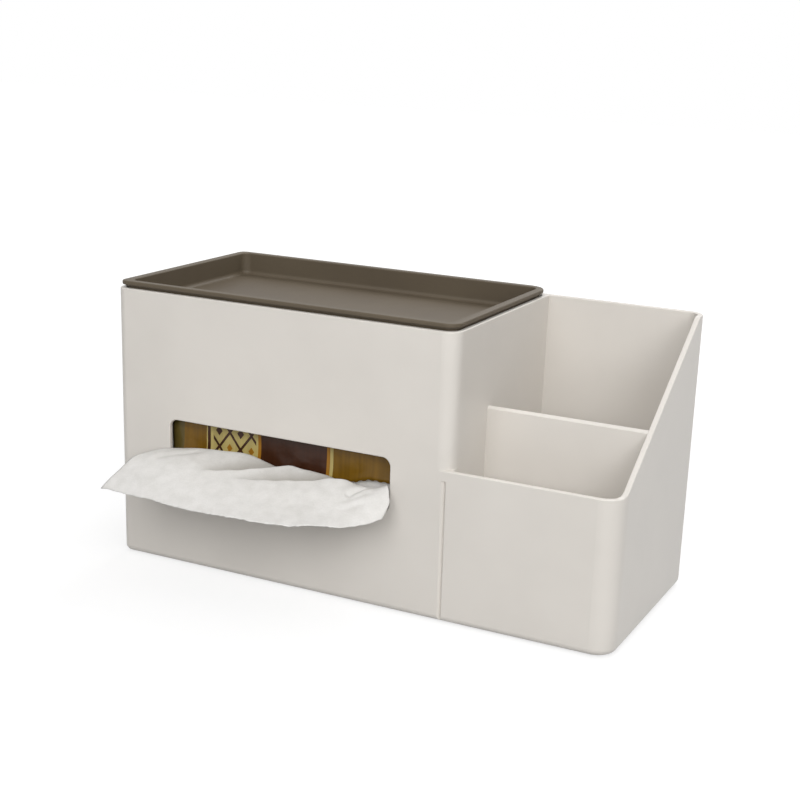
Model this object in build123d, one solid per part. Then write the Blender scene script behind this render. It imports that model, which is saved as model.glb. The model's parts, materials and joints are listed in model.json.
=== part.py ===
from build123d import *
import os
from math import radians, tan

os.makedirs("parts", exist_ok=True)

# Driving dimensions, in millimetres. X runs along the front, Y to the back, Z up from the desk.

# Body: a tall tissue tub on the left and a lower pen tub on the right, moulded as one piece
body_width = 249.0  # over both tubs, at the rim
body_depth = 107.2  # front to back, at the rim
rim_height = 130.0  # rim of the tissue tub above the desk
tub_width = 173.5  # tissue tub, over its outer faces, at the rim
wall = 2.5
base = 2.5
draft_angle = 0.42  # degrees that each moulded wall leans in towards the base
tub_corner = 5.0  # radius of the left upright corners
shoulder_corner = 7.2  # radius of the tub's front right corner, above the pen rim
pen_corner = 10.5  # radius of the front right upright corner
pen_back_corner = 8.0  # radius of the back right upright corner
base_edge = 3.0  # rounding under the walls
rim_edge = 0.5  # rounding of the rims
inner_corner = 3.2  # upright corners inside the tubs
inner_base_edge = 1.2  # rounding where the inner walls meet the base

# Pen tub: a low front rim that rises in a straight slope to the back wall, and one divider
pen_rim_height = 69.8
slope_start = 6.7  # from the front face to where the rim begins to rise
slope_back = 11.2  # from the back face to where it reaches the tub's rim height
slope_bend = 6.0  # radius where the slope leaves the front rim
slope_top_bend = 1.5  # radius where it meets the back rim
divider_setback = 37.0  # from the front face to the divider
divider_wall = 1.5  # at the rim's height; it thickens towards the base
divider_drop = 0.3  # from the rim's slope down to the divider's top

# Seam: an upright groove in the front face, near where the tubs meet
groove_setback = 3.65  # from the tissue tub's right face to the left
groove_width = 2.2
groove_depth = 1.1
groove_stop = 4.6  # from the top of the groove up to the pen rim

# Slot: the mouth in the front wall that tissues are drawn through
slot_width = 115.0
slot_height = 25.0
slot_inset = 29.1  # from the tub's left face to the slot
slot_top = 71.0  # above the desk
slot_corner = 4.0
slot_edge = 0.6  # rounding of the slot's lips

# Tray lid: a shallow dish that hangs in the tub with its beaded rim over the tub's rim
lid_inset = 0.9  # from the tub's face in to the bead
lid_step = 1.4  # from the bead in to the band below it
lid_gap = 0.7  # shadow line between the tub's rim and the band
lid_band = 0.6  # height of the band
lid_bead = 2.0  # height of the bead
lid_bead_edge = 0.65  # rounding of the bead
lid_wall = 1.8
lid_base = 2.0
lid_clearance = 0.6  # between the dish and the inside of the tub
lid_back_corner = 9.0  # radius of the bead's back right corner
dish_depth = 11.0  # from the top of the bead to the dish
dish_corner = 4.0  # radius of the dish's left corners
dish_edge = 2.0  # rounding inside the dish
skirt_edge = 1.0  # rounding under the dish

# Rest ribs: upright ribs on the tub's end walls that carry the lid
rib_thickness = 2.0
rib_depth = 3.0
rib_root = 1.0  # how far a rib is sunk in its wall, at the rim
rib_spread = 54.0  # between the two ribs of one wall

# Non-slip pads under the base
pad_diameter = 12.0
pad_thickness = 1.4
pad_stand = 0.8  # what shows below the base
pad_inset = 16.0  # from the outer faces in to a pad's middle

# Tissue pack: a soft film wrapper that stands on its long edge, with its mouth to the front
pack_width = 140.0
pack_depth = 78.0
pack_headroom = 21.6  # from the pack up to the lid
pack_gap = 4.6  # from the inside of the front wall to the pack
pack_edge = 9.0
film = 0.5
soft_clearance = 0.4  # round the folded sheets and under the wrapper
mouth_width = 113.0
mouth_height = 18.0
mouth_top = 61.0  # above the desk
mouth_corner = 4.0

# Drawn tissue: the leading sheet, out of the mouth, through the slot and drooping in front
tissue_reach = 41.0  # from the front face out to the free edge
tissue_width = 125.0
tissue_droop = 14.0  # from the crest down to the free edge
tissue_height = 59.5  # crest of the sheet above the desk
tissue_thickness = 1.0
tissue_seat = 0.3  # from the sheet's inner end to the folded sheets

# The sheet from its inner end to its free edge, as shares of its own sizes. Each row holds the place
# along its length, the left and right edges from the slot's middle along the width, and, as shares of the
# droop, the fall from the crest at the left edge, the middle fold and the right edge, and the swell of
# the sheet's left and right halves.
sheet_shares = [
    (0.00, -0.43, 0.43, 0.16, 0.16, 0.26, 0.06, -0.05),
    (0.18, -0.435, 0.45, 0.10, 0.03, 0.16, 0.05, -0.06),
    (0.45, -0.47, 0.46, 0.08, 0.26, 0.76, 0.10, 0.12),
    (0.73, -0.50, 0.375, 0.34, 0.62, 0.98, 0.14, 0.10),
    (1.00, -0.54, 0.22, 0.98, 1.00, 0.92, 0.05, 0.06),
]
fold_share = 0.45  # where the middle fold lies between the sheet's edges

overrun = 5.0  # how far a cut runs past what it cuts

# Places that follow from the sizes
draft_rate = tan(radians(draft_angle))
left = -body_width / 2
right = left + body_width
front = (tissue_reach - body_depth) / 2
back = front + body_depth
tub_right = left + tub_width
seam = tub_right - groove_setback
tub_floor = pad_stand + base
tub_middle = left + tub_width / 2
slot_middle = left + slot_inset + slot_width / 2
band_low = rim_height + lid_gap
bead_low = band_low + lid_band
bead_top = bead_low + lid_bead
dish_floor = bead_top - dish_depth
lid_underside = dish_floor - lid_base
skirt_inset = wall + lid_clearance
pack_front = front + wall + pack_gap
pack_low = tub_floor + soft_clearance
pack_height = lid_underside - pack_headroom - pack_low
stack_front = pack_front + film + soft_clearance
tissue_start = stack_front - tissue_seat
tissue_length = tissue_start - front + tissue_reach


def outline(x0, y0, x1, y1, radii, z):
    """Level rectangle with rounded corners, radii from the front left one to the right and round."""
    corners = [(x0, y0, z), (x1, y0, z), (x1, y1, z), (x0, y1, z)]
    return make_face(FilletPolyline(*corners, radius=radii, close=True))


def moulded(x0, y0, x1, y1, radii, z_low, z_high):
    """Block with this outline at rim height, whose sides and corners lean in with the draft below it."""
    lean = draft_rate * (rim_height - z_high)
    shrunk = [radius - lean if radius else 0 for radius in radii]
    top = outline(x0 + lean, y0 + lean, x1 - lean, y1 - lean, shrunk, z_high)
    return extrude(top, z_high - z_low, dir=(0, 0, -1), taper=draft_angle)


def lowest_edges(part):
    """Edges round the flat underside of a block."""
    return part.faces().sort_by(Axis.Z)[0].edges()


def highest_edges(part):
    """Edges round the flat top of a block."""
    return part.faces().sort_by(Axis.Z)[-1].edges()


def tub_space():
    """Inside of the tissue tub."""
    radii = [inner_corner, shoulder_corner - wall, inner_corner, inner_corner]
    space = moulded(
        left + wall, front + wall, tub_right - wall, back - wall, radii, tub_floor, rim_height + overrun
    )
    return fillet(lowest_edges(space), inner_base_edge)


def pen_space():
    """Inside of the pen tub, run on through the tall tub's wall."""
    radii = [inner_corner, pen_corner - wall, pen_back_corner - wall, inner_corner]
    space = moulded(
        tub_middle, front + wall, right - wall, back - wall, radii, tub_floor, rim_height + overrun
    )
    return fillet(lowest_edges(space), inner_base_edge)


def above_pen_rim():
    """Everything over the pen tub's rim and its slope."""
    profile = FilletPolyline(
        (front - overrun, pen_rim_height),
        (front + slope_start, pen_rim_height),
        (back - slope_back, rim_height),
        (back + overrun, rim_height),
        (back + overrun, rim_height + 2 * overrun),
        (front - overrun, rim_height + 2 * overrun),
        radius=[0, slope_bend, slope_top_bend, 0, 0, 0],
        close=True,
    )
    return extrude(Plane.YZ * make_face(profile), body_width, both=True)


def seam_groove():
    """Upright groove of triangular section that follows the leaning front face, open at the base."""
    face = front + draft_rate * rim_height
    half = groove_width / 2
    section = make_face(
        Polyline(
            (seam - half, face - overrun),
            (seam - half, face),
            (seam, face + groove_depth),
            (seam + half, face),
            (seam + half, face - overrun),
            close=True,
        )
    )
    run = Vector(0, -draft_rate, 1)
    return extrude(section, (pen_rim_height - groove_stop) * run.length, dir=run)


def tissue_slot():
    """Slot through the front wall."""
    hole = Plane.XZ * Pos(slot_middle, slot_top - slot_height / 2) * RectangleRounded(
        slot_width, slot_height, slot_corner
    )
    return Pos(0, front, 0) * extrude(hole, wall + overrun, both=True)


def rest_ribs():
    """Four upright ribs on the tub's end walls, from the base up to the underside of the lid."""
    foot = tub_floor - base / 2
    rib = Box(rib_root + rib_depth, rib_thickness, lid_underside - foot)
    near = wall + (rib_depth - rib_root) / 2
    middle = (front + back) / 2
    return [
        Pos(x, y, (foot + lid_underside) / 2) * rib
        for x in (left + near, tub_right - near)
        for y in (middle - rib_spread / 2, middle + rib_spread / 2)
    ]


def pad_places():
    """Middles of the four pads, named for their corners."""
    sides = {"left": left + pad_inset, "right": right - pad_inset}
    ends = {"front": front + pad_inset, "rear": back - pad_inset}
    return {f"pad_{end}_{side}": (x, y) for end, y in ends.items() for side, x in sides.items()}


def make_pad(x, y):
    """Round rubber pad, part sunk in its pocket in the base."""
    return Pos(x, y, 0) * extrude(Circle(pad_diameter / 2), pad_thickness)


def slot_lips(shell):
    """Edges round the slot on the outside and inside of the front wall."""
    near = wall + draft_rate * rim_height
    reach_x = (slot_width + slot_edge) / 2
    low = slot_top - slot_height - slot_edge
    lips = shell.edges().filter_by_position(Axis.X, slot_middle - reach_x, slot_middle + reach_x)
    lips = lips.filter_by_position(Axis.Y, front - near, front + near)
    lips = lips.filter_by_position(Axis.Z, low, slot_top + slot_edge)
    return lips.filter_by(Axis.Y, reverse=True)


def rim_edges(part, beyond):
    """Edges to the right of a place where a rim, a face that looks more up than sideways, turns down."""
    rims = part.faces().filter_by(lambda f: f.normal_at().Z > 0.5)
    rims = rims.filter_by(lambda f: f.center().Z > pen_rim_height - rim_edge)
    edges = [edge for rim in rims for edge in rim.edges() if edge.center().X > beyond]
    return [edge for edge in edges if edges.count(edge) == 1 and not edge.is_interior]


def make_tissue_tub():
    """The tall tub, with its slot and rounded rim."""
    corners = [tub_corner, shoulder_corner, 0, tub_corner]
    tub = moulded(left, front, tub_right, back, corners, pad_stand, rim_height)
    tub = tub - tub_space() - tissue_slot()
    tub = fillet(slot_lips(tub), slot_edge)
    return fillet(rim_edges(tub, left - overrun), rim_edge)


def beside_pen_tub():
    """What the tall tub takes from the pen tub's block, but for a tongue in front of its rounded shoulder."""
    inside_wall = tub_right - (wall + draft_rate * rim_height) / 2
    tongue = tub_right - shoulder_corner - overrun
    plan = Polyline(
        (tub_middle - 2 * overrun, front - overrun),
        (tongue, front - overrun),
        (tongue, front + shoulder_corner),
        (inside_wall, front + shoulder_corner),
        (inside_wall, back + overrun),
        (tub_middle - 2 * overrun, back + overrun),
        close=True,
    )
    return extrude(make_face(plan), rim_height + overrun)


def make_divider():
    """Plate across the pen tub, sunk in its walls and base, whose rounded top follows the rim's slope."""
    near = front + divider_setback
    far = near + divider_wall
    foot = tub_floor - base / 2
    spread = draft_rate * (rim_height - foot)
    section = Polyline(
        (near - spread, foot), (near, rim_height), (far, rim_height), (far + spread, foot), close=True
    )
    end = right - (wall + draft_rate * rim_height) / 2
    plate = Pos(tub_middle, 0, 0) * extrude(Plane.YZ * make_face(section), end - tub_middle)
    plate -= Pos(0, 0, -divider_drop) * above_pen_rim()
    top = plate.faces().filter_by(lambda f: f.normal_at().Z > 0.5)
    return fillet(top.edges().filter_by(Axis.X), rim_edge)


def make_pen_tub():
    """The low tub, with its divider and its sloping rounded rim, up to the inside of the tub's wall."""
    start = tub_middle - overrun
    corners = [0, pen_corner, pen_back_corner, 0]
    tub = moulded(start, front, right, back, corners, pad_stand, rim_height + overrun)
    tub = tub - above_pen_rim() - pen_space()
    tub = fillet(rim_edges(tub, start + overrun / 2), rim_edge)
    return tub + make_divider() - beside_pen_tub()


def shoulder_filler():
    """What closes the corner between the tall tub's rounded shoulder and the pen tub, under the pen rim."""
    sharp = [0, 0, 0, 0]
    low = front + wall / 2
    deep = front + 2 * shoulder_corner
    block = moulded(tub_right - shoulder_corner, low, tub_right, deep, sharp, pad_stand, rim_height + overrun)
    return block - above_pen_rim()


def make_body_shell():
    """The moulding: both tubs, the divider, the slot, the seam and the lid's rest ribs."""
    shell = make_tissue_tub() + make_pen_tub() + shoulder_filler() - tub_space()
    shell = fillet(lowest_edges(shell), base_edge)
    shell -= seam_groove()
    shell += rest_ribs()
    shell -= [make_pad(x, y) for x, y in pad_places().values()]
    return shell


def lid_slab(inset, left_corner, front_corner, back_corner, z_low, z_high):
    """Level slab of the lid, inset from the tub's rim outline."""
    radii = [left_corner, front_corner, back_corner, left_corner]
    face = outline(left + inset, front + inset, tub_right - inset, back - inset, radii, z_low)
    return extrude(face, z_high - z_low, dir=(0, 0, 1))


def make_tray_lid():
    """Dish with a beaded rim that stands over the tub's rim, and a band below the bead."""
    radii = (tub_corner, shoulder_corner, lid_back_corner + lid_inset)
    bead = lid_slab(lid_inset, *[radius - lid_inset for radius in radii], bead_low, bead_top)
    bead = fillet(lowest_edges(bead) + highest_edges(bead), lid_bead_edge)
    band_inset = lid_inset + lid_step
    band = lid_slab(band_inset, *[radius - band_inset for radius in radii], band_low, bead_top - lid_bead / 2)
    skirt_corners = (dish_corner, shoulder_corner - skirt_inset, lid_back_corner - skirt_inset)
    skirt = lid_slab(skirt_inset, *skirt_corners, lid_underside, bead_low)
    skirt = fillet(lowest_edges(skirt), skirt_edge)
    dish_inset = skirt_inset + lid_wall
    dish_corners = (dish_corner, shoulder_corner - dish_inset, lid_back_corner - dish_inset)
    dish = lid_slab(dish_inset, *dish_corners, dish_floor, bead_top + overrun)
    dish = fillet(lowest_edges(dish), dish_edge)
    lid = bead + band + skirt - dish
    inner_lip = lid.faces().sort_by(Axis.Z)[-1].inner_wires()[0]
    return fillet(inner_lip.edges(), lid_bead_edge)


def brick(inset, edge):
    """Rounded brick of the tissue pack, inset on all sides from the outside of the wrapper."""
    size = Box(pack_width - 2 * inset, pack_depth - 2 * inset, pack_height - 2 * inset)
    middle = Pos(tub_middle, pack_front + pack_depth / 2, pack_low + pack_height / 2)
    return middle * fillet(size.edges(), edge)


def make_pack_film():
    """Thin wrapper round the folded sheets, torn open at the front."""
    mouth = Plane.XZ * Pos(slot_middle, mouth_top - mouth_height / 2) * RectangleRounded(
        mouth_width, mouth_height, mouth_corner
    )
    hole = Pos(0, pack_front, 0) * extrude(mouth, film + soft_clearance, both=True)
    return brick(0, pack_edge) - brick(film, pack_edge - film) - hole


def make_tissue_stack():
    """Block of folded sheets inside the wrapper."""
    inset = film + soft_clearance
    return brick(inset, pack_edge - inset)


def sheet_section(place, left_edge, right_edge, left_fall, fold_fall, right_fall, left_swell, right_swell):
    """Section across the drawn sheet: an arc on each side of its middle fold, as thick as the tissue."""
    y = tissue_start - place * tissue_length
    ends = [left_edge, left_edge + (right_edge - left_edge) * fold_share, right_edge]
    xs = [slot_middle + end * tissue_width for end in ends]
    tops = [tissue_height - fall * tissue_droop for fall in (left_fall, fold_fall, right_fall)]
    swells = [left_swell * tissue_droop, right_swell * tissue_droop]
    edges = []
    for drop in (0, tissue_thickness):
        points = [Vector(x, y, z - drop) for x, z in zip(xs, tops)]
        for a, b, swell in zip(points, points[1:], swells):
            edges.append(ThreePointArc(a, (a + b) / 2 + Vector(0, 0, swell), b))
    for x, z in (xs[0], tops[0]), (xs[-1], tops[-1]):
        edges.append(Line((x, y, z), (x, y, z - tissue_thickness)))
    return make_face(edges)


def make_pulled_tissue():
    """Leading sheet, lofted from its inner end in the wrapper's mouth to its free edge."""
    return loft([sheet_section(*row) for row in sheet_shares])


nodes = {name: make_pad(x, y) for name, (x, y) in pad_places().items()}
nodes["body_shell"] = make_body_shell()
nodes["tray_lid"] = make_tray_lid()
nodes["pack_film"] = make_pack_film()
nodes["tissue_stack"] = make_tissue_stack()
nodes["pulled_tissue"] = make_pulled_tissue()
for name, part in nodes.items():
    export_step(part, f"parts/{name}.step")
    print(name, round(part.volume), "mm3")
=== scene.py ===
# %% [markdown]
# # A desk organizer with a tissue tub and a pen tub
# The solids come from the CAD frame: one white moulded body, a taupe tray lid and four rubber pads. They
# keep their meshes and only get finishes here. Three soft things are made new: the tissue that hangs out
# of the slot, the film wrapper of the pack, and the folded sheets in it, because solids show none of their
# folds.

# %% Frame
import json

import bpy
import numpy as np
from mathutils import Matrix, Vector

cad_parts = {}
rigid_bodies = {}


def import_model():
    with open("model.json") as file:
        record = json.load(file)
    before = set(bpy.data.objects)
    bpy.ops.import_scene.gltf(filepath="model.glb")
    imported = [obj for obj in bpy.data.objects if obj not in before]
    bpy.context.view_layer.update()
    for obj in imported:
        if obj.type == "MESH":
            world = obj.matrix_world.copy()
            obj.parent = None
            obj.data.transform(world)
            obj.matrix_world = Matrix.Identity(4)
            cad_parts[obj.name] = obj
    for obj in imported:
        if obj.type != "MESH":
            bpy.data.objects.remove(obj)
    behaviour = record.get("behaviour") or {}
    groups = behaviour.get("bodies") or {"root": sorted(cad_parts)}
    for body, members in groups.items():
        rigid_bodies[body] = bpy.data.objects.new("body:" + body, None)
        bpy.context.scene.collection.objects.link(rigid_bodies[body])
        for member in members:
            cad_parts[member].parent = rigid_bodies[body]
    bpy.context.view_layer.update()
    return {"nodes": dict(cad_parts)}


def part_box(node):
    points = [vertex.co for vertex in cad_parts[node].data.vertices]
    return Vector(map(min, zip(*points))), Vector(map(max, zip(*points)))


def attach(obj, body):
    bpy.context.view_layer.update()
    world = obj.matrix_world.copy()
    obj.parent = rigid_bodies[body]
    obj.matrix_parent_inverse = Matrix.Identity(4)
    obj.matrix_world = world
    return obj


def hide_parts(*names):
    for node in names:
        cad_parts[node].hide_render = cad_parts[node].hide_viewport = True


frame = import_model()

nodes = frame["nodes"]
MM = 0.001
print("nodes:", sorted(nodes))

# %% [markdown]
# ## Camera
# The camera stands in front and to the right, a little above the lid, and is turned slightly about its own
# axis. It could be aimed with a tracking constraint, but a matrix built from three angles is exact: the
# back axis comes from azimuth and elevation, the right axis is level, and the roll turns both about the
# back axis.

# %% Camera
AZIMUTH, ELEVATION, ROLL = np.radians([26.222, 14.859, 1.943])
CAMERA_PLACE = np.array([0.291135, -0.576231, 0.258558])
SENSOR = 36.0
LENS = 66.345

back_axis = np.array(
    [np.sin(AZIMUTH) * np.cos(ELEVATION), -np.cos(AZIMUTH) * np.cos(ELEVATION), np.sin(ELEVATION)]
)
level_axis = np.array([np.cos(AZIMUTH), np.sin(AZIMUTH), 0.0])
up_axis = np.cross(back_axis, level_axis)
camera_matrix = np.eye(4)
camera_matrix[:3, 0] = np.cos(ROLL) * level_axis + np.sin(ROLL) * up_axis
camera_matrix[:3, 1] = np.cos(ROLL) * up_axis - np.sin(ROLL) * level_axis
camera_matrix[:3, 2] = back_axis
camera_matrix[:3, 3] = CAMERA_PLACE

camera = bpy.data.objects.new("camera", bpy.data.cameras.new("camera"))
camera.data.sensor_width = SENSOR
camera.data.lens = LENS
camera.matrix_world = Matrix(camera_matrix.tolist())
bpy.context.collection.objects.link(camera)
bpy.context.scene.camera = camera
print("camera at", CAMERA_PLACE.tolist())

# %% [markdown]
# ## Materials: three helpers
# Colours are picked as sRGB hex values, and shaders work in linear light, so one function converts them. A
# second one adds a node, sets it and links other nodes to it, which keeps each material a short list. A
# node that is given to a socket stands for its first output. A third starts a material with an empty node
# tree.


# %% Colour and node helpers
def linear(hex_colour):
    """Linear RGBA of an sRGB hex colour: v / 12.92 below 0.04045, ((v + 0.055) / 1.055) ** 2.4 above."""
    v = np.array([int(hex_colour[i : i + 2], 16) for i in (1, 3, 5)]) / 255
    rgb = np.where(v <= 0.04045, v / 12.92, ((v + 0.055) / 1.055) ** 2.4)
    return (*rgb.tolist(), 1.0)


def add(tree, kind, fields=None, stops=(), **sockets):
    """Add a node: fill its ramp with stops (place, hex), set fields, set or link sockets (_ for a space)."""
    new = tree.nodes.new(kind)
    for _ in stops[2:]:
        new.color_ramp.elements.new(1.0)
    for element, (place, colour) in zip(new.color_ramp.elements if stops else (), stops):
        element.position = place
        element.color = linear(colour)
    for name, value in (fields or {}).items():
        setattr(new.color_ramp if stops else new, name, value)
    for name, value in sockets.items():
        key = int(name[2:]) if name[:2] == "in" and name[2:].isdigit() else name.replace("_", " ")
        if isinstance(value, bpy.types.Node):
            value = value.outputs[0]
        if isinstance(value, bpy.types.NodeSocket):
            tree.links.new(value, new.inputs[key])
        else:
            new.inputs[key].default_value = value
    return new


def new_material(name):
    """Material with an empty node tree, returned with that tree."""
    material = bpy.data.materials.new(name)
    material.use_nodes = True
    material.node_tree.nodes.clear()
    return material, material.node_tree


print("white in linear light:", linear("#FFFFFF"))

# %% [markdown]
# ## White moulded ABS
# The body is injection moulded in white ABS against a finely spark-eroded steel mould, which leaves a
# satin skin: soft, wide highlights and no mirror image. The grain of about 0.15 mm is too fine for the
# render, so it is drawn at 0.5 mm. A broad, weak mottle stands for the uneven gloss that cooling plastic
# gets.


# %% Moulded plastic
GRAIN, MOTTLE = 0.5, 40.0
GLOSS_SWING = 0.05


def moulded_plastic(name, colour, shade, roughness, specular, grain_height):
    """Satin plastic: fine noise lifts the surface by a height in mm, a broad one varies colour and gloss."""
    material, tree = new_material(name)
    place = add(tree, "ShaderNodeTexCoord").outputs["Object"]
    grain = add(tree, "ShaderNodeTexNoise", Vector=place, Scale=1 / (GRAIN * MM), Detail=2.0)
    mottle = add(tree, "ShaderNodeTexNoise", Vector=place, Scale=1 / (MOTTLE * MM), Detail=3.0)
    base = add(tree, "ShaderNodeValToRGB", stops=[(0.35, shade), (0.65, colour)], Fac=mottle)
    gloss = add(
        tree,
        "ShaderNodeMapRange",
        Value=mottle,
        To_Min=roughness - GLOSS_SWING,
        To_Max=roughness + GLOSS_SWING,
    )
    bump = add(tree, "ShaderNodeBump", Strength=1.0, Distance=grain_height * MM, Height=grain)
    shader = add(
        tree,
        "ShaderNodeBsdfPrincipled",
        Base_Color=base,
        Roughness=gloss,
        IOR=1.53,
        Specular_IOR_Level=specular,
        Normal=bump,
    )
    add(tree, "ShaderNodeOutputMaterial", Surface=shader)
    return material


def paint(node_name, material):
    """Give a CAD node's mesh one material."""
    slots = nodes[node_name].data.materials
    slots.clear()
    slots.append(material)


white_abs = moulded_plastic(
    "white_moulded_abs", "#DAD5CE", "#D6D1CA", roughness=0.38, specular=0.45, grain_height=0.012
)
paint("body_shell", white_abs)
print("body:", white_abs.name)

# %% [markdown]
# ## Taupe moulded ABS
# The lid comes from a mould with a duller texture, in plastic coloured through with a grey-brown pigment.
# Dark plastic shows its grain more than white, so the grain is a little higher.

# %% Lid plastic
taupe_abs = moulded_plastic(
    "taupe_moulded_abs", "#5A5041", "#544A3C", roughness=0.55, specular=0.3, grain_height=0.016
)
paint("tray_lid", taupe_abs)
print("lid:", taupe_abs.name)

# %% [markdown]
# ## Rubber of the pads
# The pads are die-cut from a grey foamed rubber sheet. The cut cells leave small pores and no gloss.
# Shade is painted into the pores: the rubber's grey darkens where the surface dips into them.

# %% Pad rubber
PORE, PORE_DEPTH = 0.8, 0.1
pad_rubber, tree = new_material("foamed_rubber")
place = add(tree, "ShaderNodeTexCoord").outputs["Object"]
pores = add(tree, "ShaderNodeTexVoronoi", Vector=place, Scale=1 / (PORE * MM))
# Painted shade in the pores: darker grey at the pore centres, where the bump dips, lighter grey between.
rubber_and_painted_pore_shade = add(tree, "ShaderNodeValToRGB", stops=[(0.05, "#5E5E5C"), (0.35, "#8A8A87")], Fac=pores)
pore_bump = add(tree, "ShaderNodeBump", Distance=PORE_DEPTH * MM, Height=pores)
rubber = add(tree, "ShaderNodeBsdfPrincipled", Base_Color=rubber_and_painted_pore_shade, Roughness=0.85, Normal=pore_bump)
add(tree, "ShaderNodeOutputMaterial", Surface=rubber)
PADS = [name for name in nodes if name.startswith("pad_")]
for name in PADS:
    paint(name, pad_rubber)
print("pads:", PADS)

# %% [markdown]
# ## Surfaces from grids
# Each soft piece is a surface over two parameters, so its points are one array of rows and columns. Quads
# between neighbours are index arithmetic on that array. A grid that closes on itself takes its first
# column again as its last neighbour, so the seam is shut without any merging, and a fan of triangles to
# one point shuts an end.


# %% Grid mesh helper
def grid_piece(name, points, closed=False, capped=False, keep=None, uv=None):
    """Object from points (rows, columns, 3), metres: quads (i, j) to (i + 1, j + 1), shut in j if closed."""
    rows, columns = points.shape[:2]
    index = np.arange(rows * columns).reshape(rows, columns)
    if closed:
        index = np.concatenate([index, index[:, :1]], axis=1)
    quads = np.stack([index[:-1, :-1], index[1:, :-1], index[1:, 1:], index[:-1, 1:]], axis=-1)
    faces = (quads[keep] if keep is not None else quads.reshape(-1, 4)).tolist()
    spots = points.reshape(-1, 3)
    if capped:
        poles = rows * columns + np.zeros((2, index.shape[1] - 1), dtype=int) + [[0], [1]]
        faces += np.stack([index[0, :-1], index[0, 1:], poles[0]], axis=-1).tolist()
        faces += np.stack([index[-1, 1:], index[-1, :-1], poles[1]], axis=-1).tolist()
        spots = np.concatenate([spots, points[[0, -1]].mean(axis=1)])
    mesh = bpy.data.meshes.new(name)
    mesh.from_pydata(spots.tolist(), [], faces)
    mesh.polygons.foreach_set("use_smooth", np.ones(len(faces), dtype=bool))
    if uv is not None:
        layer = mesh.uv_layers.new(name="print")
        corners = np.empty(len(mesh.loops), dtype=np.int32)
        mesh.loops.foreach_get("vertex_index", corners)
        layer.data.foreach_set("uv", uv.reshape(-1, 2)[corners].ravel())
    mesh.update()
    piece = bpy.data.objects.new(name, mesh)
    bpy.context.collection.objects.link(piece)
    print(name, "faces", len(faces))
    return piece


# %% [markdown]
# ## The drawn tissue
# A sheet is pulled out of the pack through the slot. It rises a little over the mouth, then droops to a
# free edge that curves round to the right. Cloth physics would need its pull and creases set just so, so
# the sheet is a spline surface through a small net of points instead: columns run from left to right, rows
# from the mouth of the pack to the free edge. B-spline blending makes it smooth, and solving for the
# control points makes it pass through the net.


# %% Spline surface through a net
def clamped_knots(count, degree):
    """Knots in even steps from 0 to 1, with each end repeated, so that the curve reaches its end points."""
    return np.concatenate([np.zeros(degree), np.linspace(0, 1, count - degree + 1), np.ones(degree)])


def blending(count, t, degree=3):
    """Clamped B-spline weights, raised degree by degree: a row per place t in 0..1, a column per point."""
    knots = clamped_knots(count, degree)
    t = np.clip(t, 0, 1 - 1e-9)[:, None]
    weights = ((t >= knots[:-1]) & (t < knots[1:])).astype(float)
    for d in range(1, degree + 1):
        rise, fall = knots[d:-1] - knots[: -d - 1], knots[d + 1 :] - knots[1:-d]
        up = np.where(rise > 0, (t - knots[: -d - 1]) / np.where(rise > 0, rise, 1), 0)
        down = np.where(fall > 0, (knots[d + 1 :] - t) / np.where(fall > 0, fall, 1), 0)
        weights = up * weights[:, :-1] + down * weights[:, 1:]
    return weights


def places(count, degree=3):
    """Parameter at which each control point pulls most: the mean of its inner knots."""
    knots = clamped_knots(count, degree)
    return np.stack([knots[i : i + count] for i in range(1, degree + 1)]).mean(axis=0)


def through(net, s, t):
    """Spline surface through a net of points: control = weights at places, inverted, times the points."""
    control = np.einsum("ij,jkc->ikc", np.linalg.inv(blending(net.shape[0], places(net.shape[0]))), net)
    control = np.einsum("ij,kjc->kic", np.linalg.inv(blending(net.shape[1], places(net.shape[1]))), control)
    return np.einsum("ai,bj,ijc->abc", blending(net.shape[0], s), blending(net.shape[1], t), control)


print("weights of five points add up to", blending(5, places(5)).sum(axis=1))

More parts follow.
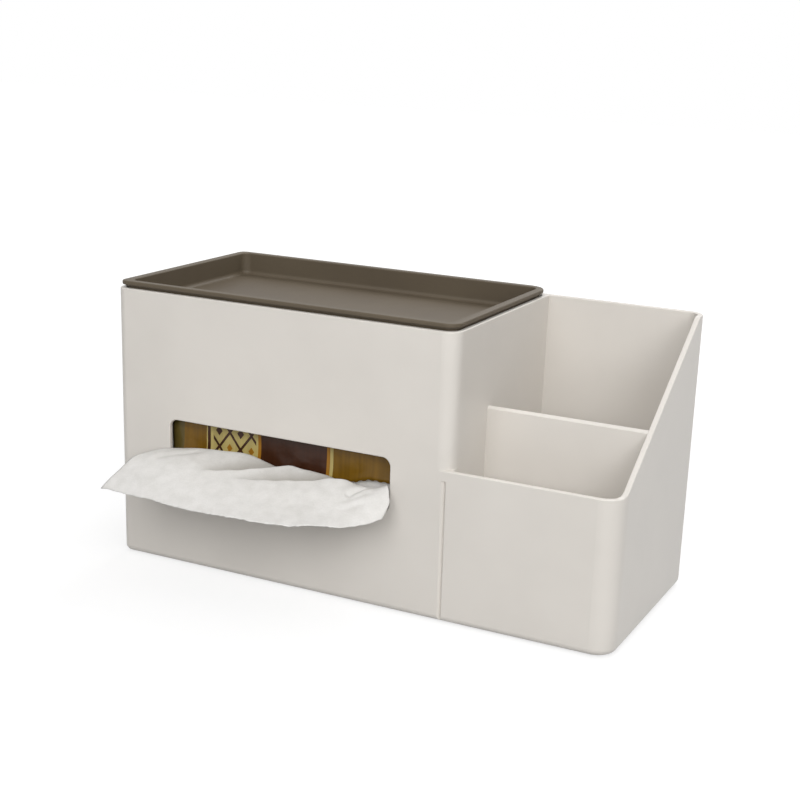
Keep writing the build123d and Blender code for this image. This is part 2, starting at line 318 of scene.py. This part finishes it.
# %% Net of the tissue
# Columns from the left edge to the right one; in each, from the mouth out to the free edge, in millimetres.
TISSUE_NET = np.array(
    [
        [(-91.7, -25.4, 51.0), (-92.5, -29.6, 55.0), (-93.3, -33.6, 57.4), (-95.7, -42.1, 58.7),
         (-98.7, -51.1, 58.2), (-101.9, -61.1, 54.0), (-106.1, -70.6, 46.0)],
        [(-79.7, -25.4, 51.2), (-80.4, -29.6, 56.6), (-81.7, -33.6, 59.2), (-83.7, -43.1, 59.2),
         (-85.7, -53.1, 57.6), (-88.7, -63.1, 52.8), (-91.7, -72.1, 46.3)],
        [(-67.7, -25.4, 51.2), (-67.7, -29.6, 57.4), (-68.1, -33.6, 60.2), (-68.7, -43.1, 58.6),
         (-69.7, -53.1, 56.8), (-70.7, -63.1, 52.2), (-71.7, -73.1, 46.0)],
        [(-52.7, -25.4, 51.0), (-52.7, -29.6, 58.6), (-52.7, -33.6, 61.6), (-52.7, -42.1, 57.9),
         (-52.7, -51.1, 55.8), (-52.2, -62.1, 51.6), (-51.7, -74.0, 45.8)],
        [(-35.7, -25.4, 50.6), (-35.7, -29.6, 57.8), (-35.7, -33.6, 60.3), (-34.7, -41.1, 57.4),
         (-33.7, -50.1, 55.0), (-32.7, -61.1, 51.2), (-30.7, -73.6, 46.2)],
        [(-19.7, -25.4, 50.6), (-19.2, -29.6, 57.2), (-18.7, -33.6, 59.3), (-17.7, -40.1, 57.0),
         (-15.7, -49.1, 54.0), (-13.7, -59.1, 50.2), (-10.7, -71.1, 46.4)],
        [(-4.7, -25.4, 50.8), (-3.7, -29.6, 56.8), (-2.7, -33.6, 58.9), (-1.2, -39.1, 57.0),
         (0.8, -46.1, 53.8), (2.8, -54.1, 50.2), (5.3, -64.1, 47.0)],
        [(5.3, -25.4, 50.4), (6.8, -29.6, 54.2), (8.8, -33.6, 56.2), (10.5, -37.6, 56.4),
         (12.7, -43.1, 54.0), (14.5, -49.1, 50.4), (16.3, -55.7, 46.6)],
        [(14.3, -25.4, 51.2), (16.9, -29.6, 56.4), (19.1, -33.6, 59.0), (20.9, -35.7, 57.6),
         (22.5, -38.1, 55.2), (23.5, -41.1, 51.8), (22.9, -45.5, 47.8)],
    ]
)
TISSUE_ACROSS, TISSUE_ALONG = 300, 160
across, along = np.linspace(0, 1, TISSUE_ACROSS), np.linspace(0, 1, TISSUE_ALONG)
tissue_points = through(TISSUE_NET, across, along)
print("tissue points", tissue_points.shape)

# %% [markdown]
# Where the sheet was pinched in the mouth, it has two sharp pleats. Each runs slantwise from the slot to
# the front, with a crest, and a trough behind the crest that hides part of the sheet. A pleat is a push
# along Z that depends on the distance behind the crest's line: down by r * exp(1 - r), where r is that
# distance over the trough's reach. It grows from nothing at the crest's free end. Softer dents are the
# same line with a bell-shaped push.

# %% Pleats and dents
CREST, CREST_ROUND, CREST_BEFORE, CREST_BEHIND = 0.5, 0.6, 2.2, 1.2
PLEAT_GROWS, PLEAT_FADES = (-0.05, 0.40), (1.05, 1.35)
DENT_EASE = 0.3


def line_places(points, start, end):
    """Run along a plan line, 0 at its start and 1 at its end, and signed distance to its left, in mm."""
    (x0, y0), (x1, y1) = start, end
    dx, dy = x1 - x0, y1 - y0
    length = np.hypot(dx, dy)
    x, y = points[..., 0] - x0, points[..., 1] - y0
    return (x * dx + y * dy) / length**2, (y * dx - x * dy) / length


def ease(t):
    """Smooth step from 0 to 1: 3 t^2 - 2 t^3."""
    t = np.clip(t, 0, 1)
    return t * t * (3 - 2 * t)


def pleat(points, start, end, depth, reach):
    """Push of a sharp pleat: a small crest on the line, and a trough of depth behind it, in mm."""
    run, behind = line_places(points, start, end)
    grow = ease((run - PLEAT_GROWS[0]) / np.ptp(PLEAT_GROWS))
    grow *= np.clip((PLEAT_FADES[1] - run) / np.ptp(PLEAT_FADES), 0, 1)
    r = (behind + np.sqrt(behind**2 + CREST_ROUND**2)) / 2 / reach
    crest = CREST * np.exp(-np.abs(behind) / np.where(behind < 0, CREST_BEFORE, CREST_BEHIND))
    return grow * (crest - depth * r * np.exp(1 - r))


def dent(points, start, end, depth, width):
    """Push of a soft dent: a bell across the line, eased in and out along it, in mm."""
    run, behind = line_places(points, start, end)
    ends = ease(run / DENT_EASE + 0.5) * ease((1 - run) / DENT_EASE + 0.5)
    return -depth * np.exp(-((behind / width) ** 2)) * ends


print("smooth step in quarters", ease(np.linspace(0, 1, 5)))

# %% Folds of the tissue
# Depth of a pleat's trough in mm at which the painted shade in the pleats is darkest.
PAINTED_SHADE_FULL_DEPTH = 3.0
PLEATS = [((-65.7, -53.1), (-30.7, -32.6), 3.4, 3.2), ((-47.7, -51.6), (2.3, -32.6), 3.2, 2.8)]
DENTS = [
    ((9.3, -34.0), (4.5, -43.0), 1.4, 1.6),
    ((13.5, -38.0), (4.0, -46.5), 0.5, 1.5),
    ((-74.0, -34.5), (-90.0, -51.0), 0.6, 2.5),
    ((14.0, -44.0), (5.0, -52.0), 0.45, 1.8),
    ((-20.0, -52.0), (-2.0, -66.0), 0.35, 2.5),
]
push = sum(pleat(tissue_points, *fold) for fold in PLEATS)
# Painted shade: how deep each point lies in a pleat's trough, 0 to 1, later greys the paper's colour.
painted_pleat_shade = np.clip(-push / PAINTED_SHADE_FULL_DEPTH, 0, 1)
push += sum(dent(tissue_points, *fold) for fold in DENTS)
print("pushed by", push.min(), "to", push.max(), "mm")

# %% [markdown]
# Soft paper is never quite even, so a few weak waves with seeded headings ripple it. The free edge is cut
# on a machine and a little ragged, most of all at the right corner, so its last rows move in and out by
# seeded steps.

# %% Ripples and the cut edge
RIPPLES, RIPPLE_HEIGHT, RIPPLE_LENGTHS = 10, 0.05, (7, 22)
EDGE_STEPS, EDGE_RAGGED, EDGE_FROM = 120, 0.16, 0.96
CORNER_RAGGED, CORNER_PLACE, CORNER_SPREAD = 2.5, 0.93, 0.05
RIPPLE_SEED = 11
rng = np.random.default_rng(RIPPLE_SEED)
for _ in range(RIPPLES):
    heading = rng.uniform(0, 2 * np.pi)
    wave = 2 * np.pi / rng.uniform(*RIPPLE_LENGTHS)
    phase = rng.uniform(0, 2 * np.pi)
    ripple = np.cos(heading) * tissue_points[..., 0] + np.sin(heading) * tissue_points[..., 1]
    push += RIPPLE_HEIGHT * np.sin(wave * ripple + phase)
tissue_points[..., 2] += push

ragged = np.interp(across, np.linspace(0, 1, EDGE_STEPS), rng.normal(0, EDGE_RAGGED, EDGE_STEPS))
ragged *= 1 + CORNER_RAGGED * np.exp(-(((across - CORNER_PLACE) / CORNER_SPREAD) ** 2))
outward = tissue_points[:, -1] - tissue_points[:, -2]
outward /= np.linalg.norm(outward, axis=-1, keepdims=True)
at_edge = ease((along - EDGE_FROM) / (1 - EDGE_FROM))
tissue_points += ragged[:, None, None] * outward[:, None, :] * at_edge[None, :, None]

tissue_points *= MM

# %% [markdown]
# ## Tissue paper
# Facial tissue is soft creped wood pulp in thin plies. Light scatters in it, so it has no gloss and no
# hard shading, and the crepe shows as a fine fleck. Crepe of 0.3 mm is drawn at 0.7 mm so that it shows,
# and the pulp's uneven thickness gives soft clouds of about 6 mm. Shade is painted into the pleats: the
# sheet carries its pleats' depth as an attribute, which greys its colour, darkest deep in a trough.

# %% Tissue paper
CREPE, CREPE_HEIGHT, CLOUD = 0.7, 0.1, 6.0
tissue_paper, tree = new_material("creped_tissue_paper")
place = add(tree, "ShaderNodeTexCoord").outputs["Object"]
crepe = add(tree, "ShaderNodeTexNoise", Vector=place, Scale=1 / (CREPE * MM), Detail=3.0, Roughness=0.6)
clouds = add(tree, "ShaderNodeTexNoise", Vector=place, Scale=1 / (CLOUD * MM), Detail=3.0)
mixed = add(tree, "ShaderNodeMath", {"operation": "MULTIPLY_ADD"}, in0=crepe, in1=0.5, in2=clouds)
pulp = add(tree, "ShaderNodeValToRGB", stops=[(0.5, "#D6D4D0"), (0.95, "#E3E1DE")], Fac=mixed)
# Painted shade in the pleats: the pulp's colour is multiplied from white to grey by the trough depth.
depth = add(tree, "ShaderNodeAttribute", {"attribute_name": "painted_pleat_shade"}).outputs["Fac"]
painted_shade_ramp = add(tree, "ShaderNodeValToRGB", stops=[(0.0, "#FFFFFF"), (1.0, "#C2BFBA")], Fac=depth)
tint = {"data_type": "RGBA", "blend_type": "MULTIPLY"}
paper_and_painted_shade = add(tree, "ShaderNodeMix", tint, in0=1.0, in6=pulp, in7=painted_shade_ramp).outputs[2]
crepe_bump = add(tree, "ShaderNodeBump", Strength=0.8, Distance=CREPE_HEIGHT * MM, Height=crepe)
paper = add(
    tree,
    "ShaderNodeBsdfPrincipled",
    Base_Color=paper_and_painted_shade,
    Roughness=0.95,
    Specular_IOR_Level=0.2,
    Normal=crepe_bump,
)
add(tree, "ShaderNodeOutputMaterial", Surface=paper)
print("paper:", tissue_paper.name)

# %% Tissue piece
PAPER_THICKNESS = 0.25
tissue = grid_piece("drawn_tissue", tissue_points)
# The trough depth goes on the sheet as an attribute, which the paper reads for its painted shade.
tissue.data.attributes.new("painted_pleat_shade", "FLOAT", "POINT").data.foreach_set("value", painted_pleat_shade.ravel())
thin = tissue.modifiers.new("paper", "SOLIDIFY")
thin.thickness = PAPER_THICKNESS * MM
thin.offset = 0.0
tissue.data.materials.append(tissue_paper)
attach(tissue, "sheet")
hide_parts("pulled_tissue")

# %% [markdown]
# ## The film wrapper
# The sheets stand in a soft film bag. Its girth is one tube of film, drawn tight round the stack, and its
# ends are folded flat and sealed to a crimped fin. A girth section is a rounded rectangle, |y/a|^n +
# |z/b|^n = 1, carried along the pack. Towards each end its depth runs out, so the end closes to the fin.
# Points of a square's outline are pulled in onto that section, which puts grid lines exactly on the rim of
# the torn mouth.

# %% Wrapper sizes
film_low, film_high = (np.array(corner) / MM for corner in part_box("pack_film"))
PACK_MIDDLE = (film_low + film_high) / 2
HALF_WIDTH, HALF_DEPTH, HALF_HEIGHT = (film_high - film_low) / 2
FIN = 4.0
END_ROUND = 7.0
END_SINK = 0.06
FIN_DEPTH = 0.012
BRICK_POWER = 7.0
MOUTH_X = np.array([-94.4, 18.6]) - PACK_MIDDLE[0]
MOUTH_Z = np.array([43.0, 54.2]) - PACK_MIDDLE[2]
print("pack middle", PACK_MIDDLE, "half sizes", HALF_WIDTH, HALF_DEPTH, HALF_HEIGHT)


# %% Girth section
def on_square(height):
    """Place on a square's side from which the pull-in lands at this share of the half height."""
    return height / (1 - abs(height) ** BRICK_POWER) ** (1 / BRICK_POWER)


def girth(front_side, other_side):
    """Closed loop with |y|^n + |z|^n = 1: up the front, over the top, down the back and under."""
    ones_front, ones = np.ones_like(front_side), np.ones_like(other_side)
    y = np.concatenate([-ones_front, other_side, ones, -other_side])
    z = np.concatenate([front_side, ones, -other_side, -ones])
    pull = (np.abs(y) ** BRICK_POWER + np.abs(z) ** BRICK_POWER) ** (-1 / BRICK_POWER)
    return y * pull, z * pull


BELOW_MOUTH, ACROSS_MOUTH, ABOVE_MOUTH, OTHER_SIDES = 24, 12, 24, 48
mouth_low, mouth_high = on_square(MOUTH_Z[0] / HALF_HEIGHT), on_square(MOUTH_Z[1] / HALF_HEIGHT)
front_side = np.concatenate(
    [
        np.linspace(-1, mouth_low, BELOW_MOUTH, endpoint=False),
        np.linspace(mouth_low, mouth_high, ACROSS_MOUTH, endpoint=False),
        np.linspace(mouth_high, 1, ABOVE_MOUTH, endpoint=False),
    ]
)
loop_y, loop_z = girth(front_side, np.linspace(-1, 1, OTHER_SIDES, endpoint=False))
print("girth points", len(loop_y))

# %% Wrapper surface
END_STEPS, FIN_STEPS, BESIDE_STEPS, MOUTH_STEPS = 12, 9, 4, 114
end_places = HALF_WIDTH - FIN - END_ROUND * (1 - np.sin(np.linspace(0, np.pi / 2, END_STEPS)))
fin_places = HALF_WIDTH - FIN + np.linspace(0, FIN, FIN_STEPS)[1:]
right_places = np.concatenate([end_places[1:], fin_places])
span = np.concatenate(
    [
        -right_places[::-1],
        np.linspace(-end_places[0], MOUTH_X[0], BESIDE_STEPS, endpoint=False),
        np.linspace(MOUTH_X[0], MOUTH_X[1], MOUTH_STEPS, endpoint=False),
        np.linspace(MOUTH_X[1], end_places[0], BESIDE_STEPS),
        right_places,
    ]
)
into_end = np.clip((np.abs(span) - (HALF_WIDTH - FIN - END_ROUND)) / END_ROUND, 0, 1)
fall = np.maximum(np.sqrt(1 - into_end**2), FIN_DEPTH)
film_x = np.broadcast_to(span[:, None], (len(span), len(loop_y)))
film_y = HALF_DEPTH * fall[:, None] * loop_y[None, :]
film_z = HALF_HEIGHT * (1 - END_SINK * into_end[:, None] ** 2) * loop_z[None, :]
print("places along", len(span), "depth left at the fins", fall.min())

# %% [markdown]
# Film doesn't lie flat: it wrinkles towards the seals and along its edges, and puffs a little between. A
# few long waves with seeded directions and phases push the surface in and out, more strongly near the
# ends. Heated jaws press ridges into the fins, so every other row of a fin moves to one side.

# %% Wrapper wrinkles and crimps
WAVES, WAVE_LENGTHS = 14, (9, 34)
WRINKLE, END_WRINKLE, END_REACH = 0.25, 0.55, (40, 66)
CRIMP = 0.25
CLOSE = 0.01
FIN_FADE = 0.5
WRINKLE_SEED = 7
rng = np.random.default_rng(WRINKLE_SEED)
waves = np.zeros(film_x.shape)
for _ in range(WAVES):
    direction = rng.normal(size=3)
    length = rng.uniform(*WAVE_LENGTHS)
    direction *= 2 * np.pi / (length * np.linalg.norm(direction))
    phase = rng.uniform(0, 2 * np.pi)
    turns = direction[0] * film_x + direction[1] * film_y + direction[2] * film_z
    waves += np.sin(turns + phase) / WAVES**0.5
near_end = np.clip((np.abs(film_x) - END_REACH[0]) / np.ptp(END_REACH), 0, 1) ** 2
lift = (WRINKLE + END_WRINKLE * near_end) * waves * np.minimum(1, fall[:, None] / FIN_FADE)
film_y = film_y + lift * loop_y[None, :]
film_z = film_z + lift * loop_z[None, :]
in_fin = np.abs(span) > HALF_WIDTH - FIN + CLOSE
film_y += (CRIMP * in_fin * (-1.0) ** np.arange(len(span)))[:, None]
print("wrinkles from", lift.min(), "to", lift.max(), "mm")

# %% [markdown]
# The mouth was torn open along a perforation, so its rims step up and down like teeth and curl outwards.
# At the right the drawn sheet has pushed the upper rim up, and the stack shows below it.

# %% Torn mouth
TOOTH, TOOTH_STEPS, CURL = 0.5, 2, ((0, 0.9), (1, 0.5), (2, 0.2))
GAPE, GAPE_SPREAD = 3.2, 9
GAPE_RISES, GAPE_FALLS = (-24, -10), (-1, 3)
rim_low, rim_high = BELOW_MOUTH, BELOW_MOUTH + ACROSS_MOUTH
around = np.arange(len(loop_y))
mouth_rows = (span[:-1] > MOUTH_X[0] - CLOSE) & (span[1:] < MOUTH_X[1] + CLOSE)
keep = ~(mouth_rows[:, None] & ((around >= rim_low) & (around < rim_high))[None, :])
at_mouth = (span > MOUTH_X[0] - CLOSE) & (span < MOUTH_X[1] + CLOSE)
teeth = TOOTH * (np.arange(len(span)) // TOOTH_STEPS % 2 == 0)
film_z[at_mouth, rim_high] += teeth[at_mouth]
film_z[at_mouth, rim_low] -= teeth[at_mouth]
for beside, curl in CURL:
    film_y[at_mouth, rim_high + beside] -= curl
    film_y[at_mouth, rim_low - beside] -= curl
past_end = span - MOUTH_X[1]
gape = GAPE * ease((past_end - GAPE_RISES[0]) / np.ptp(GAPE_RISES))
gape *= ease((GAPE_FALLS[1] - past_end) / np.ptp(GAPE_FALLS))
above = around - rim_high
spread = np.where((above >= 0) & (around < len(front_side)), np.exp(-((above / GAPE_SPREAD) ** 2)), 0)
film_z += gape[:, None] * spread[None, :]
print("mouth faces left out", int((~keep).sum()))

# %% Wrapper piece
PRINT_UNIT = 100.0
FILM_THICKNESS, FILM_SAG = 0.15, 0.1
film_points = np.stack([film_x, film_y, film_z], axis=-1) + PACK_MIDDLE
film_points[..., 2] = np.maximum(film_points[..., 2], film_low[2] - FILM_SAG)
girth_steps = np.hypot(np.diff(loop_y * HALF_DEPTH), np.diff(loop_z * HALF_HEIGHT))
girth_run = np.concatenate([[0], np.cumsum(girth_steps)])
film_uv = np.stack(np.broadcast_arrays(span[:, None], girth_run[None, :]), axis=-1) / PRINT_UNIT
wrapper = grid_piece("film_wrapper", film_points * MM, closed=True, keep=keep, uv=film_uv)
film_wall = wrapper.modifiers.new("film", "SOLIDIFY")
film_wall.thickness = FILM_THICKNESS * MM
film_wall.offset = -1.0
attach(wrapper, "organizer")
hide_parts("pack_film")

# %% [markdown]
# ## Printed film
# The wrapper is thin polyethylene film, printed in bands across the pack: mustard, cream lines, a cream
# panel with a lattice of lozenges, and dark brown. The print is under a clear skin, so it is glossy. Bands
# are a stepped colour ramp over the place along the pack. Two zigzags, one along the pack and one round
# it, add up to lozenges. Streaks 1.5 mm wide vary the ink, as they do on film that is printed from
# rollers.

# %% Printed film
MUSTARD, OLIVE, BROWN, CREAM, ORANGE = "#74540F", "#5E5026", "#3E2110", "#BCAB6C", "#A06E1E"
BANDS = [
    (0.0, OLIVE),
    (0.115, MUSTARD),
    (0.2, CREAM),
    (0.207, BROWN),
    (0.215, CREAM),
    (0.40, ORANGE),
    (0.412, BROWN),
    (0.66, ORANGE),
    (0.67, CREAM),
    (0.68, MUSTARD),
    (0.9, OLIVE),
]
PANEL = [(0.0, "#000000"), (0.228, "#FFFFFF"), (0.392, "#000000")]
LOZENGES = [(0.0, BROWN), (0.16, CREAM), (0.44, BROWN), (0.57, CREAM), (0.86, ORANGE)]
LOZENGE_WIDE, LOZENGE_HIGH = 11.5 / PRINT_UNIT, 15.0 / PRINT_UNIT
STEPPED = {"interpolation": "CONSTANT"}

printed_film, tree = new_material("printed_polyethylene_film")
coordinates = add(tree, "ShaderNodeTexCoord")
on_print = add(tree, "ShaderNodeSeparateXYZ", Vector=coordinates.outputs["UV"])
half_pack = HALF_WIDTH / PRINT_UNIT
from_left = add(tree, "ShaderNodeMapRange", Value=on_print, From_Min=-half_pack, From_Max=half_pack)
bands = add(tree, "ShaderNodeValToRGB", STEPPED, stops=BANDS, Fac=from_left)
panel = add(tree, "ShaderNodeValToRGB", STEPPED, stops=PANEL, Fac=from_left)
zigzag = {"operation": "PINGPONG"}
wide = add(tree, "ShaderNodeMath", zigzag, in0=on_print.outputs["X"], in1=LOZENGE_WIDE / 2)
high = add(tree, "ShaderNodeMath", zigzag, in0=on_print.outputs["Y"], in1=LOZENGE_HIGH / 2)
wide_share = add(tree, "ShaderNodeMath", {"operation": "MULTIPLY"}, in0=wide, in1=1 / LOZENGE_WIDE)
lattice = add(
    tree, "ShaderNodeMath", {"operation": "MULTIPLY_ADD"}, in0=high, in1=1 / LOZENGE_HIGH, in2=wide_share
)
lozenges = add(tree, "ShaderNodeValToRGB", STEPPED, stops=LOZENGES, Fac=lattice)
print("print bands", len(BANDS), "lozenge", LOZENGE_WIDE * PRINT_UNIT, "by", LOZENGE_HIGH * PRINT_UNIT, "mm")

# %% Film shader
STREAK, STREAK_STRETCH = 1.5, (1.0, 0.1, 0.04)
CREASE, CREASE_HEIGHT = 9.0, 0.6
colour_mix = {"data_type": "RGBA"}
pattern = add(tree, "ShaderNodeMix", colour_mix, in0=panel, in6=bands, in7=lozenges)
streak_place = add(tree, "ShaderNodeMapping", Vector=coordinates.outputs["Object"], Scale=STREAK_STRETCH)
streaks = add(tree, "ShaderNodeTexNoise", Vector=streak_place, Scale=1 / (STREAK * MM), Detail=2.0)
ink = add(tree, "ShaderNodeValToRGB", stops=[(0.3, "#E4E4E4"), (0.7, "#FFFFFF")], Fac=streaks)
inked = add(tree, "ShaderNodeMix", tint, in0=1.0, in6=pattern.outputs[2], in7=ink)
film_crease = add(
    tree, "ShaderNodeTexNoise", Vector=coordinates.outputs["Object"], Scale=1 / (CREASE * MM), Detail=2.0
)
film_bump = add(tree, "ShaderNodeBump", Strength=0.6, Distance=CREASE_HEIGHT * MM, Height=film_crease)
film_shader = add(
    tree,
    "ShaderNodeBsdfPrincipled",
    Base_Color=inked.outputs[2],
    Roughness=0.28,
    IOR=1.5,
    Specular_IOR_Level=0.3,
    Normal=film_bump,
)
add(tree, "ShaderNodeOutputMaterial", Surface=film_shader)
wrapper.data.materials.append(printed_film)
print("film:", printed_film.name)

# %% [markdown]
# ## The folded sheets
# Inside the wrapper the sheets lie on each other from front to back, each folded over the next. Their cut
# edges don't quite line up, so the block's sides step in and out by fractions of a millimetre. The block
# is the same rounded section carried along the pack and shrunk to a point at both ends, and each layer's
# step is one random value looked up by the place from front to back.

# %% Stack surface
stack_low, stack_high = (np.array(corner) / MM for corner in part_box("tissue_stack"))
STACK_MIDDLE = (stack_low + stack_high) / 2
STACK_INSET = np.array([5.0, 0.3, 1.4])
STACK_HALF = (stack_high - stack_low) / 2 - STACK_INSET
STACK_ROUND = 3.0
STACK_SIDE, STACK_ALONG, STACK_RINGS, STACK_TURN = 64, 60, 24, 8

stack_side = np.linspace(-1, 1, STACK_SIDE, endpoint=False)
stack_y, stack_z = girth(stack_side, stack_side)
turn = np.linspace(0, np.pi / 2, STACK_TURN)
turn_x = STACK_HALF[0] - STACK_ROUND * (1 - np.sin(turn))
turn_shrink = 1 - (1 - np.cos(turn)) * STACK_ROUND / STACK_HALF[1]
ring_shrink = turn_shrink[-1] * np.linspace(1, 0, STACK_RINGS)[1:-1]
end_x = np.concatenate([turn_x, np.full(len(ring_shrink), turn_x[-1])])
end_shrink = np.concatenate([turn_shrink, ring_shrink])
middle_x = np.linspace(-turn_x[0], turn_x[0], STACK_ALONG)[1:-1]
stack_span = np.concatenate([-end_x[::-1], middle_x, end_x])
shrink = np.concatenate([end_shrink[::-1], np.ones(len(middle_x)), end_shrink])
print("stack places along", len(stack_span), "round", len(stack_y))

# %% Stack piece
LAYER, LAYER_STEP, LAYERS = 1.2, 0.35, 200
EDGE_SHARE = 0.9
LAYER_SEED = 3
layer_step = np.random.default_rng(LAYER_SEED).uniform(-LAYER_STEP, LAYER_STEP, LAYERS)
stack_depth = STACK_HALF[1] * shrink[:, None] * stack_y[None, :]
step = layer_step[np.floor((stack_depth + HALF_DEPTH) / LAYER).astype(int)]
end_on = np.sign(stack_span)[:, None] * (np.abs(stack_span)[:, None] > middle_x[-1])
edge_on = np.sign(stack_z)[None, :] * (np.abs(stack_z)[None, :] > EDGE_SHARE)
stack_points = np.stack(
    [
        stack_span[:, None] + step * end_on,
        stack_depth,
        STACK_HALF[2] * shrink[:, None] * stack_z[None, :] + step * edge_on,
    ],
    axis=-1,
)
stack = grid_piece("folded_sheets", (stack_points + STACK_MIDDLE) * MM, closed=True, capped=True)
stack.data.materials.append(tissue_paper)
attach(stack, "organizer")
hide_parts("tissue_stack")

# %% [markdown]
# ## Floor and background
# The ground is plain white. The floor is a grey sheet that also glows for rays from the camera and from
# glossy surfaces, so it reads white while the object's soft shadow stays on it and little light bounces
# up. The lamps fade with distance, so the glow rises away from the object. The world is white for the same
# rays and a weak plain light for the rest.


# %% Floor
def seen_rays(tree):
    """Is this ray from the camera, or seen in gloss or through glass: the largest of three flags, 0 or 1."""
    rays = add(tree, "ShaderNodeLightPath").outputs
    most = {"operation": "MAXIMUM"}
    seen = add(tree, "ShaderNodeMath", most, in0=rays["Is Camera Ray"], in1=rays["Is Glossy Ray"])
    return add(tree, "ShaderNodeMath", most, in0=seen, in1=rays["Is Transmission Ray"])


FLOOR_HALF = 3.0
GLOW_NEAR, GLOW_FAR = (0.3, 0.7), (1.5, 0.97)
floor_mesh = bpy.data.meshes.new("floor")
corners = np.array([[-1, -1, 0], [1, -1, 0], [1, 1, 0], [-1, 1, 0]]) * FLOOR_HALF
floor_mesh.from_pydata(corners.tolist(), [], [(0, 1, 2, 3)])
floor = bpy.data.objects.new("floor", floor_mesh)
bpy.context.collection.objects.link(floor)

floor_sheet, tree = new_material("pale_floor")
place = add(tree, "ShaderNodeTexCoord").outputs["Object"]
away = add(tree, "ShaderNodeVectorMath", {"operation": "LENGTH"}, in0=place).outputs["Value"]
(near, near_glow), (far, far_glow) = GLOW_NEAR, GLOW_FAR
rising = add(
    tree, "ShaderNodeMapRange", Value=away, From_Min=near, From_Max=far, To_Min=near_glow, To_Max=far_glow
)
strength = add(tree, "ShaderNodeMath", {"operation": "MULTIPLY"}, in0=seen_rays(tree), in1=rising)
glow = add(tree, "ShaderNodeEmission", Color=linear("#FFFFFF"), Strength=strength)
matt = add(tree, "ShaderNodeBsdfDiffuse", Color=linear("#A4A4A4"))
both = add(tree, "ShaderNodeAddShader", in0=matt, in1=glow)
add(tree, "ShaderNodeOutputMaterial", Surface=both)
floor_mesh.materials.append(floor_sheet)
print("floor", 2 * FLOOR_HALF, "m square")

# %% World
AMBIENT = 0.25
world = bpy.data.worlds.new("studio")
bpy.context.scene.world = world
world.use_nodes = True
tree = world.node_tree
tree.nodes.clear()
ground = add(tree, "ShaderNodeBackground", Color=linear("#FFFFFF"), Strength=1.0)
ambient = add(tree, "ShaderNodeBackground", Color=linear("#FFFFFF"), Strength=AMBIENT)
choice = add(tree, "ShaderNodeMixShader", Fac=seen_rays(tree), in1=ambient, in2=ground)
add(tree, "ShaderNodeOutputWorld", Surface=choice)
print("ambient light", AMBIENT)

# %% [markdown]
# ## Lamps
# One large lamp stands in front, a second on the right, and a weak one above lights the rims. A fourth
# stands behind, for the back and for the far sides of the rims, and high, so that the tray's floor doesn't
# glare. Square lamps of about a metre give the soft shadow edges of a studio. Their strengths are set so
# that a surface which faces them renders about as bright as its colour is written.

# %% Lamps
OBJECT_MIDDLE = (0.0, 0.0, 0.06)


def soft_lamp(name, place, size, watts):
    """Square lamp at a place in metres: its -Z axis points from there to the object's middle."""
    lamp = bpy.data.objects.new(name, bpy.data.lights.new(name, "AREA"))
    lamp.data.size = size
    lamp.data.energy = watts
    back = np.array(place) - np.array(OBJECT_MIDDLE)
    back = back / np.linalg.norm(back)
    side = np.cross([0.0, 0.0, 1.0], back)
    side = side / np.linalg.norm(side)
    matrix = np.eye(4)
    matrix[:3] = np.stack([side, np.cross(back, side), back, place], axis=1)
    lamp.matrix_world = Matrix(matrix.tolist())
    bpy.context.collection.objects.link(lamp)
    print("lamp", name, watts, "W")


soft_lamp("front_lamp", place=(0.1, -1.2, 0.75), size=0.8, watts=8.0)
soft_lamp("right_lamp", place=(1.0, -0.84, 0.7), size=0.8, watts=9.0)
soft_lamp("top_lamp", place=(0.15, -0.2, 1.3), size=1.2, watts=3.0)
soft_lamp("back_lamp", place=(0.1, 0.85, 1.15), size=0.8, watts=8.0)
bpy.context.scene.view_settings.view_transform = "Standard"
